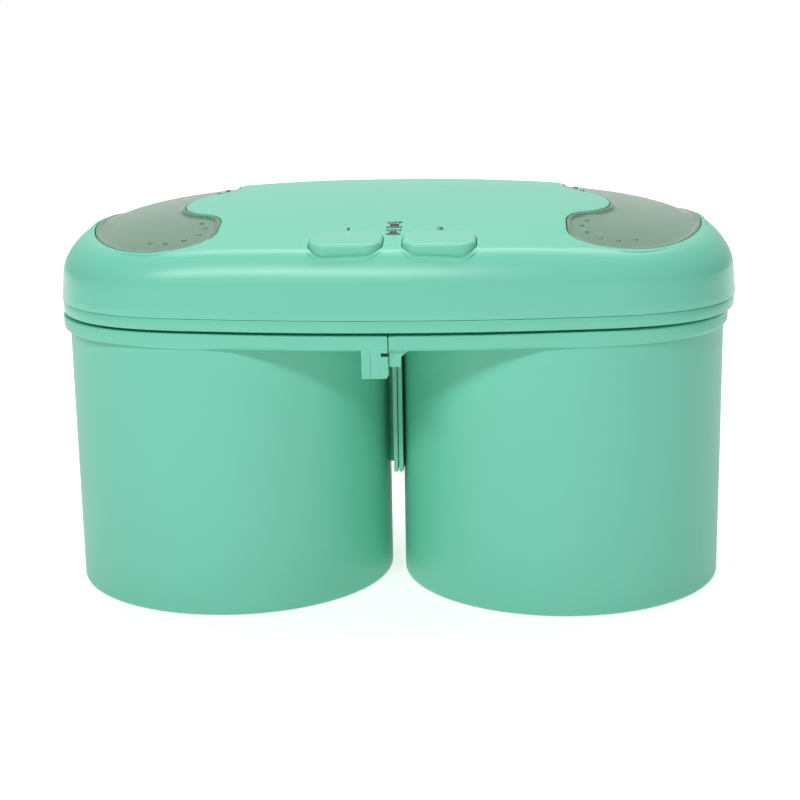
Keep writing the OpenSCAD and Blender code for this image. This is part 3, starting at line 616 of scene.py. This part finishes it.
def makeWindow(side):
    solid = Solid()
    w = window
    loop = mirrored(grown(windowLoop, -w["clearance"]), side)
    centres = mirrored(dotCentres(), side)
    lip, rise = w["lip"], w["lipRise"]
    profile = [(0, -0.55), (0.08, -0.25), (0.3, -0.05), (0.55, 0), (lip - 0.35, 0), (lip - 0.1, -0.12),
               (lip + 0.15, -0.45), (lip + w["step"] - 0.35, -rise + 0.12), (lip + w["step"], -rise)]
    rows = []
    for inwards, drop in profile:
        ring = grown(loop, -inwards)
        rows.append(solid.add(ring, lidHeight(ring, w["recess"] - rise) + drop))
    solid.strips(rows, flip=True)
    inner = np.array([solid.points[i][:2] for i in rows[-1]])
    field = grid(inner, *w["topGrid"])
    for c in centres:
        field = field[np.linalg.norm(field - c, axis=1) > dots["radius"] * dots["keepClear"]]
    free = [solid.add(field, lidHeight(field, w["recess"]))]
    for c in centres:
        for share, high in dots["rings"]:
            ring = circle(*c, share * dots["radius"], dots["points"]) if share else c[None]
            free.append(solid.add(ring, lidHeight(ring, w["recess"]) + high * dots["height"]))
    solid.fill([rows[-1]], np.concatenate(free))
    depth = w["recess"] + w["pane"] + w["rim"]
    thin = grown(loop, -w["pane"])
    below = w["recess"] + w["pane"]
    under = [rows[0], solid.add(loop, lidHeight(loop) - depth / 2), solid.add(loop, lidHeight(loop) - depth),
             solid.add(thin, lidHeight(thin) - depth), solid.add(thin, lidHeight(thin, below))]
    solid.strips(under)
    field = grid(thin, *w["underGrid"])
    solid.fill([under[-1]], solid.add(field, lidHeight(field, below)), up=False)
    name = sideName(side)
    return dressed(solid.build("clear_window_" + name), name + "_window", "clear_window",
                   "window_cover_" + name)


for side in (1, -1):
    makeWindow(side)
print("windows made")


def makeButton(side):
    b = button
    solid = Solid()
    middle = buttonMiddle(side)
    loop = buttonLoop(side)

    def top(plan, lower=0.0):  # sloping, slightly crowned top
        away = (plan - middle) / (b["width"] / 2, b["depth"] / 2)
        crown = b["crown"] * (1 - np.clip((away ** 2).sum(1), 0, b["crownReach"]))
        lean = math.tan(math.radians(b["slope"]))
        return b["z"] + crown - b["crown"] / 2 + (plan[:, 1] - middle[1]) * lean - lower

    soft = b["edgeRound"]
    rows = []
    for turn in np.linspace(90, 0, 7):
        c, s = math.cos(math.radians(turn)), math.sin(math.radians(turn))
        ring = grown(loop, -soft * (1 - c))
        rows.append(solid.add(ring, top(ring, soft * (1 - s))))
    field = grid(grown(loop, -soft), *b["topGrid"])
    solid.fill([rows[0]], solid.add(field, top(field)))
    edgeTop = b["edgeZ"] + b["edgeHeight"]
    wide, inner = grown(loop, b["edge"]), grown(loop, -b["wall"])
    roof = b["wall"] + b["roof"]
    rows += [solid.add(loop, edgeTop + b["skirt"]), solid.add(loop, edgeTop), solid.add(wide, edgeTop),
             solid.add(wide, b["edgeZ"]), solid.add(inner, b["edgeZ"]), solid.add(inner, top(inner, roof))]
    solid.strips(rows)
    field = grid(inner, *b["underGrid"])
    solid.fill([rows[-1]], solid.add(field, top(field, roof)), up=False)
    r, low, high, edge = b["stemRadius"], b["stemZ"], b["z"] - b["stemSink"], b["stemChamfer"]
    solid.turned(*middle, [(0, low), (r - edge, low), (r, low + edge), (r, high), (0, high)], 32)
    name = sideName(side)
    return dressed(solid.build("push_button_" + name), name + "_button", "mint_button", "button_" + name)


spring = {
    "low": 158.4, "top": 176.4, "radius": 4.0, "wire": 0.4, "turns": 5, "fixed": 158.0, "turnSteps": 30,
    "wireSteps": 10,
}


def makeSpring(side):
    s = spring
    solid = Solid()
    steps = s["turns"] * s["turnSteps"]
    x, y = buttonMiddle(side)
    rows = []
    around = np.linspace(0, 2 * math.pi, s["wireSteps"], endpoint=False)
    for i in range(steps + 1):
        turn = 2 * math.pi * i / s["turnSteps"]
        z = s["low"] + (s["top"] - s["low"]) * i / steps
        r = s["radius"] + s["wire"] * np.cos(around)
        start = len(solid.points)
        solid.points += [(x + q * math.cos(turn), y + q * math.sin(turn), z + s["wire"] * math.sin(a))
                         for q, a in zip(r, around)]
        rows.append(np.arange(start, start + s["wireSteps"]))
    solid.strips(rows)
    solid.faces += [tuple(rows[0]), tuple(rows[-1][::-1])]
    name = sideName(side)
    piece = dressed(solid.build("return_spring_" + name), "lid", "spring_steel", "button_spring_" + name)
    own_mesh(piece)


for side in (1, -1):
    makeButton(side)
    makeSpring(side)
print("buttons made")


prints = {"thick": 0.04, "sink": 0.1, "letter": 3.3, "number": 4.8, "bold": 0.11, "pointStep": 0.8}


def pressed(name, outlines):  # flat ink shapes on the lid, each an anticlockwise outline in plan
    solid = Solid()
    for outline in outlines:
        loop = evenly(np.array(outline, float), prints["pointStep"])
        top = solid.add(loop, lidHeight(loop) + prints["thick"])
        bottom = solid.add(loop, lidHeight(loop) - prints["sink"])
        solid.strip(top, bottom)
        solid.fill([top])
        solid.fill([bottom], up=False)
    return dressed(solid.build(name), "lid", "mint_lid", material=ink)


def lettering(name, text, x, y, size, stretch):  # printed letters that follow the lid's surface
    curve = bpy.data.curves.new(name, "FONT")
    curve.body, curve.size, curve.align_x = text, size * mm, "CENTER"
    curve.offset = prints["bold"] * mm
    made = bpy.data.objects.new(name, curve)
    bpy.context.scene.collection.objects.link(made)
    bpy.context.view_layer.update()
    mesh = bpy.data.meshes.new_from_object(made)
    bpy.data.objects.remove(made)
    shape = bmesh.new()
    shape.from_mesh(mesh)
    bmesh.ops.triangulate(shape, faces=shape.faces)
    for face in shape.faces:
        if face.normal.z < 0:
            face.normal_flip()
    sheet = bmesh.ops.extrude_face_region(shape, geom=shape.faces[:])
    raised = {v for v in sheet["geom"] if isinstance(v, bmesh.types.BMVert)}
    under = [f for f in shape.faces if not any(v in raised for v in f.verts)]
    bmesh.ops.reverse_faces(shape, faces=under)
    plan = np.array([(x + v.co.x * stretch / mm, y + v.co.y / mm) for v in shape.verts])
    height = lidHeight(plan)
    for v, p, h in zip(shape.verts, plan, height):
        v.co = (p[0] * mm, p[1] * mm, (h + (prints["thick"] if v in raised else -prints["sink"])) * mm)
    bmesh.ops.recalc_face_normals(shape, faces=shape.faces)
    shape.to_mesh(mesh)
    shape.free()
    piece = bpy.data.objects.new(name, mesh)
    bpy.context.scene.collection.objects.link(piece)
    return dressed(piece, "lid", "mint_lid", material=ink)


def bar(x, y, w, d):  # a rectangle about a middle
    return [(x - w / 2, y - d / 2), (x + w / 2, y - d / 2), (x + w / 2, y + d / 2), (x - w / 2, y + d / 2)]


centre = button["panelX"] - 0.1
lettering("print_off", "OFF", centre, -45.8, prints["letter"] * 1.1, 1.15)
lettering("print_on", "ON", centre, -55.3, prints["letter"], 1.35)
pressed("print_off_icon", [bar(centre, -47.8, 4.2, 3.0), bar(centre, -50.5, 7.6, 1.5)])
pressed("print_on_icon", [bar(centre, -56.9, 3.9, 2.2), bar(centre, -59.2, 6.8, 1.7)])
lettering("print_one", "1", buttonMiddle(-1)[0], -54.0, prints["number"], 1.5)
lettering("print_two", "2", buttonMiddle(1)[0], -54.0, prints["number"], 1.5)
print("prints made")


tub = {
    "radius": 78.6, "wall": 2.2, "low": 0.8, "floor": 3.4, "edge": 2.0, "rimZ": 130.2, "rimTop": 137.4,
    "plate": 2.4, "rimRadius": 79.9, "rimBulge": 6.7, "rimSoft": 3.0, "seamSoft": 0.1, "topSoft": 0.7,
    "rimInset": 0.35, "rimRise": 0.8, "keepClear": 0.3, "seamX": 0.1, "gap": 0.5, "seamPoints": 61,
    "seatRadius": 50.0, "seatTop": 8.7, "seatChamfer": 0.3, "sink": 0.5,
    "webHalf": 22.0, "webZ": 56.0, "webThick": 2.0, "webSpread": 1, "braceHalf": 2, "steps": 160,
    "wallRows": (90.0, 45.0), "innerRow": 60.0,
    "channel": (0.9, 1.15),  # how far inside the rim's edge its underside turns up, and ends
    "mouthEdge": ((0.4, 0), (0.1, 0.15), (0, 0.5)),  # steps outward and down that round the mouth
    "floorEdge": ((0, 1.5), (0.45, 0.45), (1.5, 0)),  # steps inward and up that round the floor's corner
}


# closed outline of one tub's half of the rim: round the end and straight back along the seam
def rimPath(side):
    t = tub
    path = oval(t["rimRadius"], t["rimBulge"], 60, 60) + (tubShift, 0)
    seam = t["seamX"] + side * t["gap"] / 2
    path = path[path[:, 0] * side > seam * side + t["keepClear"]]
    turn = np.argsort(np.arctan2(path[:, 1], (path[:, 0] - tubShift) * side))
    path = path[turn]
    depth = flank(t["rimRadius"], t["rimBulge"], np.array([seam - tubShift]))[0]
    line = np.c_[np.full(t["seamPoints"], seam), np.linspace(depth, -depth, t["seamPoints"])]
    path = np.vstack([path, line])
    return path if side > 0 else path[::-1]


def makeTub(side):
    t = tub
    solid = Solid()
    x = tubShift + side * halfPitch
    seam = t["seamX"] + side * t["gap"] / 2
    path = rimPath(side)
    normal = outward(path)
    onSeam = np.abs(path[:, 0] - seam) < 1e-6
    corner = onSeam & (np.abs(path[:, 1]) > np.abs(path[onSeam, 1]).max() - 1e-6)
    normal[onSeam] = (-side, 0)
    normal[corner] = np.c_[np.full(corner.sum(), -side), np.sign(path[corner, 1])]
    proud = np.hypot(path[:, 0] - x, path[:, 1]) - t["radius"]
    soft = np.clip(proud - t["rimInset"], t["seamSoft"], t["rimSoft"])
    soft[onSeam] = t["seamSoft"]
    inFront = onSeam & (np.abs(path[:, 1]) < np.abs(path[onSeam, 1]).max() - t["wall"])
    plateLow = t["rimTop"] - t["plate"]
    low = np.where(inFront, plateLow, t["rimZ"])
    bend = np.linspace(0, math.pi / 2, 6)
    rows = []
    for a in bend:
        ring = path - normal * (t["topSoft"] * (1 - math.sin(a)))
        rows.append(solid.add(ring, t["rimTop"] - t["topSoft"] * (1 - math.cos(a))))
    for a in bend[::-1]:
        ring = path - normal * (soft * (1 - math.sin(a)))[:, None]
        rows.append(solid.add(ring, low + soft * t["rimRise"] * (1 - math.cos(a))))
    solid.strips(rows)

    def level(r, z):
        return solid.add(circle(x, 0, r, t["steps"]), z)

    inner = t["radius"] - t["wall"]
    mouth = [(inner + by, t["rimTop"] - drop) for by, drop in t["mouthEdge"]]
    inside = [level(*mouth[0])]
    solid.fill([rows[0], inside[0]])
    down = [level(t["radius"], plateLow)]
    lowPath = np.array([solid.points[i][:2] for i in rows[-1]])
    channel = []
    for by, z in zip(t["channel"], (t["rimZ"], plateLow)):
        ring = lowPath - normal * by
        clear = (np.hypot(ring[:, 0] - x, ring[:, 1]) > t["radius"] + t["keepClear"]) & ~onSeam
        channel.append(solid.add(ring[clear], z))
    solid.fill([rows[-1], down[0]], np.concatenate(channel), up=False)
    edge = t["edge"]
    down += [level(t["radius"], z) for z in t["wallRows"]]
    down += [level(t["radius"] - edge + edge * math.sin(a), t["low"] + edge * (1 - math.cos(a)))
             for a in bend[::-1]]
    solid.strips(down)
    solid.fill([down[-1]], up=False)
    inside += [level(r, z) for r, z in mouth[1:]] + [level(inner, t["innerRow"])]
    inside += [level(inner - by, t["floor"] + up) for by, up in t["floorEdge"]]
    solid.strips(inside, flip=True)
    solid.fill([inside[-1]])
    seat, seatTop, edge, foot = t["seatRadius"], t["seatTop"], t["seatChamfer"], t["floor"] - t["sink"]
    outer = seat + t["wall"]
    solid.turned(x, 0, [(outer, foot), (outer, seatTop - edge), (outer - edge, seatTop),
                        (seat + edge, seatTop), (seat, seatTop - edge), (seat, foot)], 96)
    web, half, brace = seam + side * t["webThick"] / 2, t["webSpread"], t["braceHalf"]
    wallX = x - side * (t["radius"] - t["wall"] / 2)
    solid.box((web - half, -t["webHalf"], t["webZ"]), (web + half, t["webHalf"], plateLow + t["sink"]))
    solid.box((min(web, wallX), -brace, t["webZ"]), (max(web, wallX), brace, t["rimZ"]))
    for front in (1, -1):
        (makeHousing if side < 0 else makeHook)(solid, front)
    body = "base" if side > 0 else "left_tub"
    name = sideName(side)
    return dressed(solid.build("outer_tub_" + name), body, "mint_tub", "tub_" + name)


# the hooks between the tubs: housings on the left one, tongues with heads on the right one
hook = {
    "left": -12.15, "right": -0.15, "front": -85.8, "depth": 8.4, "low": 117.8, "wall": 1.8, "roof": 127.8,
    "notchW": 3.2, "notchH": 1.8, "grooveX": -8.15, "groove": 0.5, "round": 1.6, "ribX": -5.15, "rib": 2.0,
    "neck": 1.8, "clear": 0.4, "arm": 4.6, "root": 8.8, "head": 3.0, "top": 135.4, "rootTop": 135.5,
    "corner": 0.5, "overlap": 0.4, "inset": 0.3, "ribInset": 0.5, "roofEnd": 3.4, "slim": 0.6,
}


def inOrder(low, high, front):  # y of a box at the front, or mirrored to the back
    return (low, high) if front > 0 else (-high, -low)


def makeHousing(solid, front):
    h = hook
    y0, wall, top, low, right = h["front"], h["wall"], h["top"], h["low"], h["right"]
    r, roof, notchX, notchTop = h["round"], h["roof"], right - h["notchW"], h["roof"] + h["notchH"]
    corner, cut = h["corner"], h["grooveX"] + h["groove"] / 2
    leftPanel = [(h["left"], low + corner), (h["left"] + corner, low), (h["grooveX"], low),
                 (h["grooveX"], top), (h["left"], top)]
    rightPanel = [(cut, low)] + [tuple(p) for p in arc(right - r, low + r, r, 270, 360, 6)]
    rightPanel += [(right, roof), (notchX, roof), (notchX, notchTop), (right, notchTop), (right, top),
                   (cut, top)]
    for panel in (leftPanel, rightPanel):
        solid.slabXZ(panel, *inOrder(y0, y0 + wall, front))
    floor = inOrder(y0 + h["groove"], y0 + wall, front)  # the groove's floor joins the two panels
    solid.box((h["grooveX"] - h["overlap"], floor[0], low), (cut + h["overlap"], floor[1], top))
    back = inOrder(y0 + h["depth"] - wall, y0 + h["depth"], front)
    solid.box((h["left"], back[0], low), (right, back[1], top))
    side = inOrder(y0 + h["inset"], y0 + h["depth"] - h["inset"], front)
    solid.box((h["left"], side[0], low), (h["left"] + wall, side[1], top))
    solid.box((h["left"] + h["inset"], side[0], roof), (right - h["roofEnd"], side[1], top))
    middle = y0 + h["depth"] / 2
    slot = h["neck"] / 2 + h["clear"]
    edge = h["ribInset"]
    for start, stop in ((y0 + edge, middle - slot), (middle + slot, y0 + h["depth"] - edge)):
        rib = inOrder(start, stop, front)
        solid.box((h["ribX"], rib[0], low), (h["ribX"] + h["rib"], rib[1], roof + edge))


def makeHook(solid, front):
    h = hook
    rootX = tub["seamX"] + tub["gap"] / 2
    channel = h["depth"] - 2 * h["wall"] - 2 * h["clear"]
    y0 = h["front"] + h["wall"] + h["clear"]
    armZ = h["roof"] - h["clear"] - h["arm"]
    slim, root, rootTop = rootX + h["root"] * h["slim"], rootX + h["root"], h["rootTop"]
    profile = [(rootX, armZ), (slim, armZ), (slim, armZ + h["arm"]), (root, tub["rimZ"]),
               (root, rootTop), (rootX, rootTop)]
    solid.slabXZ(profile, *inOrder(y0, y0 + channel, front))
    headX = h["ribX"] - h["clear"] - h["head"]
    middle = h["front"] + h["depth"] / 2
    neck = inOrder(middle - h["neck"] / 2, middle + h["neck"] / 2, front)
    head = inOrder(middle - channel / 2, middle + channel / 2, front)
    solid.box((headX + 0.2, neck[0], armZ + 0.1), (rootX + 0.5, neck[1], armZ + h["arm"] - 0.1))
    solid.box((headX, head[0], armZ), (headX + h["head"], head[1], armZ + h["arm"]))


for side in (1, -1):
    makeTub(side)
print("tubs made")


# finishes of the pieces that are shown as they are
slots = {row["node"]: row["material_slot"] for row in frame["record"]["subparts"]}
for name, node in frame["nodes"].items():
    node.data.materials.clear()
    node.data.materials.append(finishes[slots[name]])
print("finishes given")

studio = {
    "floorHalf": 2500, "floorColour": (0.86, 0.87, 0.87, 1), "floorGlow": 1.75, "floorShare": 0.58,
    "nearFrom": 0.3, "nearTo": 1.0, "bounce": 0.5, "ambient": 0.12, "gloss": 0.75, "darkSides": 0.85,
}
cameraRay, glossyRay, clearRay = 0, 3, 6  # places of these among the Light Path's outputs
white = (1, 1, 1, 1)


def straightRays(rays):  # the rays that see the background as plain white
    return rays[cameraRay].maths("MAXIMUM", rays[cameraRay], rays[clearRay])


def makeFloor():
    solid = Solid()
    half = studio["floorHalf"]
    row = solid.add([(-half, -half), (half, -half), (half, half), (-half, half)], 0)
    solid.faces.append(tuple(row))
    floor = solid.build("floor")
    g = Graph(bpy.data.materials.new("floor"))
    diffuse = g.node("ShaderNodeBsdfDiffuse", None, {"Color": studio["floorColour"]})[0]
    glow = g.node("ShaderNodeEmission", None, {"Color": white, "Strength": studio["floorGlow"]})[0]
    away = g.node("ShaderNodeVectorMath", {"operation": "LENGTH"}, {0: g.place()})[1]
    near = g.node("ShaderNodeMapRange", None, {
        "Value": away, "From Min": studio["nearFrom"], "From Max": studio["nearTo"], "To Min": 1.0,
        "To Max": 0.0})[0]
    rays = g.node("ShaderNodeLightPath")
    straight = straightRays(rays)
    seen = straight.maths("MAXIMUM", straight, rays[glossyRay] * 0.5)
    share = (seen * (1 - studio["bounce"]) + studio["bounce"]) * (1 - near * studio["floorShare"])
    floor.data.materials.append(g.finish("ShaderNodeMixShader", {0: share, 1: diffuse, 2: glow}))


def makeWorld():  # white to the camera, dim to the object, and brighter where it is mirrored
    world = bpy.data.worlds.new("studio")
    bpy.context.scene.world = world
    g = Graph(world)
    rays = g.node("ShaderNodeLightPath")
    facing = g.node("ShaderNodeTexCoord")[0]
    sideways = g.node("ShaderNodeSeparateXYZ", None, {0: facing})[0]
    dim = 1 - sideways * sideways * studio["darkSides"]
    light = rays[glossyRay] * (studio["gloss"] - studio["ambient"]) + studio["ambient"]
    lit = light * dim
    strength = straightRays(rays) * (1 - lit) + lit
    sky = g.node("ShaderNodeBackground", None, {"Color": white, "Strength": strength})[0]
    g.node("ShaderNodeOutputWorld", None, {"Surface": sky})


# place, aim and size of each softbox in metres, and its power in watts
softboxes = {
    "key": ((-0.45, -1.3, 1.25), (-0.1, 0, 0.16), (1.3, 0.22), 14.0),
    "top": ((0.1, 0.45, 1.9), (0, 0, 0.1), (1.8, 1.2), 24.0),
    "front": ((0.2, -2.6, 0.5), (0, 0, 0.05), (2.6, 0.8), 0.4),
}


def softbox(name, place, aim, size, power):
    lamp = bpy.data.lights.new(name, "AREA")
    lamp.shape, lamp.size, lamp.size_y, lamp.energy = "RECTANGLE", size[0], size[1], power
    holder = bpy.data.objects.new(name, lamp)
    bpy.context.scene.collection.objects.link(holder)
    holder.location = place
    holder.rotation_euler = (Vector(aim) - Vector(place)).to_track_quat("-Z", "Y").to_euler()


makeFloor()
makeWorld()
for name, given in softboxes.items():
    softbox(name, *given)

view = {
    "place": (0.05404, -0.9105, 0.309), "down": 15.327, "roll": -0.974, "turn": -3.426,  # metres, degrees
    "focal": 1873.4, "frame": 800, "rise": 54, "sensor": 36.0,  # picture points, and the sensor in mm
}
camera = bpy.data.cameras.new("camera")
camera.sensor_width = view["sensor"]
camera.lens = view["focal"] / view["frame"] * camera.sensor_width
camera.shift_y = view["rise"] / view["frame"]
camera.clip_start, camera.clip_end = 0.05, 50
holder = bpy.data.objects.new("camera", camera)
bpy.context.scene.collection.objects.link(holder)
down, turn, roll = (math.radians(view[k]) for k in ("down", "turn", "roll"))
ahead = Vector((math.sin(turn) * math.cos(down), math.cos(turn) * math.cos(down), -math.sin(down)))
right = Vector((math.cos(turn), -math.sin(turn), 0))
above = right.cross(ahead)
right, above = (math.cos(roll) * right + math.sin(roll) * above,
                math.cos(roll) * above - math.sin(roll) * right)
holder.matrix_world = Matrix((right, above, -ahead)).transposed().to_4x4()
holder.location = view["place"]
bpy.context.scene.camera = holder
bpy.context.scene.view_settings.view_transform = "Standard"
print("studio made")
